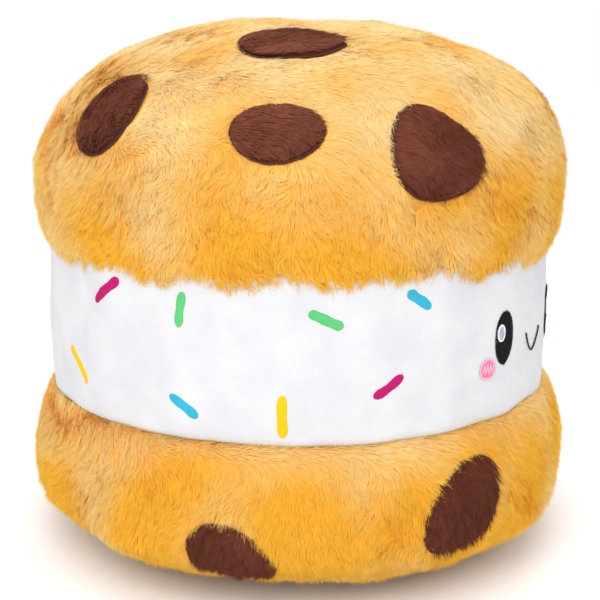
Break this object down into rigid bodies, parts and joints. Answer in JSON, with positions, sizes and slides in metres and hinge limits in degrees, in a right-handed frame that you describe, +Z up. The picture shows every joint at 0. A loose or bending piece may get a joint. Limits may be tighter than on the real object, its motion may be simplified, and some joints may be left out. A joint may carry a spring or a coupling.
{
  "type": "plush cookie ice cream sandwich toy",
  "caption": "Round stuffed toy ice cream sandwich: furry golden cookies with brown chip patches, a white band with sprinkles and a small embroidered face.",
  "frame": {"origin": "on the floor under the middle of the toy", "axes": "+Z up through the cookies, the face looks along -Y"},
  "size_m": [0.3722, 0.372, 0.355],
  "materials": {
    "cookie_fur": "long pile plush",
    "chip_fur": "short pile plush",
    "ice_cream_plush": "velour",
    "sprinkle_pink": "printed velour",
    "sprinkle_green": "printed velour",
    "sprinkle_blue": "printed velour",
    "sprinkle_yellow": "printed velour",
    "eye_thread": "embroidery",
    "glint_thread": "embroidery",
    "cheek_thread": "embroidery",
    "smile_thread": "embroidery"
  },
  "bodies": {
    "root": {"bottom_chip_1": "chip_fur", "bottom_chip_2": "chip_fur", "bottom_chip_3": "chip_fur", "bottom_chip_4": "chip_fur", "bottom_chip_5": "chip_fur", "bottom_chip_6": "chip_fur", "bottom_cookie": "cookie_fur", "cheek_left": "cheek_thread", "cheek_right": "cheek_thread", "eye_left": "eye_thread", "eye_right": "eye_thread", "glint_left": "glint_thread", "glint_right": "glint_thread", "ice_cream_band": "ice_cream_plush", "smile": "smile_thread", "sprinkle_blue_1": "sprinkle_blue", "sprinkle_blue_2": "sprinkle_blue", "sprinkle_blue_3": "sprinkle_blue", "sprinkle_blue_4": "sprinkle_blue", "sprinkle_blue_5": "sprinkle_blue", "sprinkle_blue_6": "sprinkle_blue", "sprinkle_green_1": "sprinkle_green", "sprinkle_green_2": "sprinkle_green", "sprinkle_green_3": "sprinkle_green", "sprinkle_green_4": "sprinkle_green", "sprinkle_green_5": "sprinkle_green", "sprinkle_green_6": "sprinkle_green", "sprinkle_pink_1": "sprinkle_pink", "sprinkle_pink_2": "sprinkle_pink", "sprinkle_pink_3": "sprinkle_pink", "sprinkle_pink_4": "sprinkle_pink", "sprinkle_pink_5": "sprinkle_pink", "sprinkle_pink_6": "sprinkle_pink", "sprinkle_yellow_1": "sprinkle_yellow", "sprinkle_yellow_2": "sprinkle_yellow", "sprinkle_yellow_3": "sprinkle_yellow", "sprinkle_yellow_4": "sprinkle_yellow", "sprinkle_yellow_5": "sprinkle_yellow", "sprinkle_yellow_6": "sprinkle_yellow", "top_chip_1": "chip_fur", "top_chip_2": "chip_fur", "top_chip_3": "chip_fur", "top_chip_4": "chip_fur", "top_chip_5": "chip_fur", "top_chip_6": "chip_fur", "top_chip_7": "chip_fur", "top_chip_8": "chip_fur", "top_chip_9": "chip_fur", "top_cookie": "cookie_fur"}
  },
  "joints": []
}
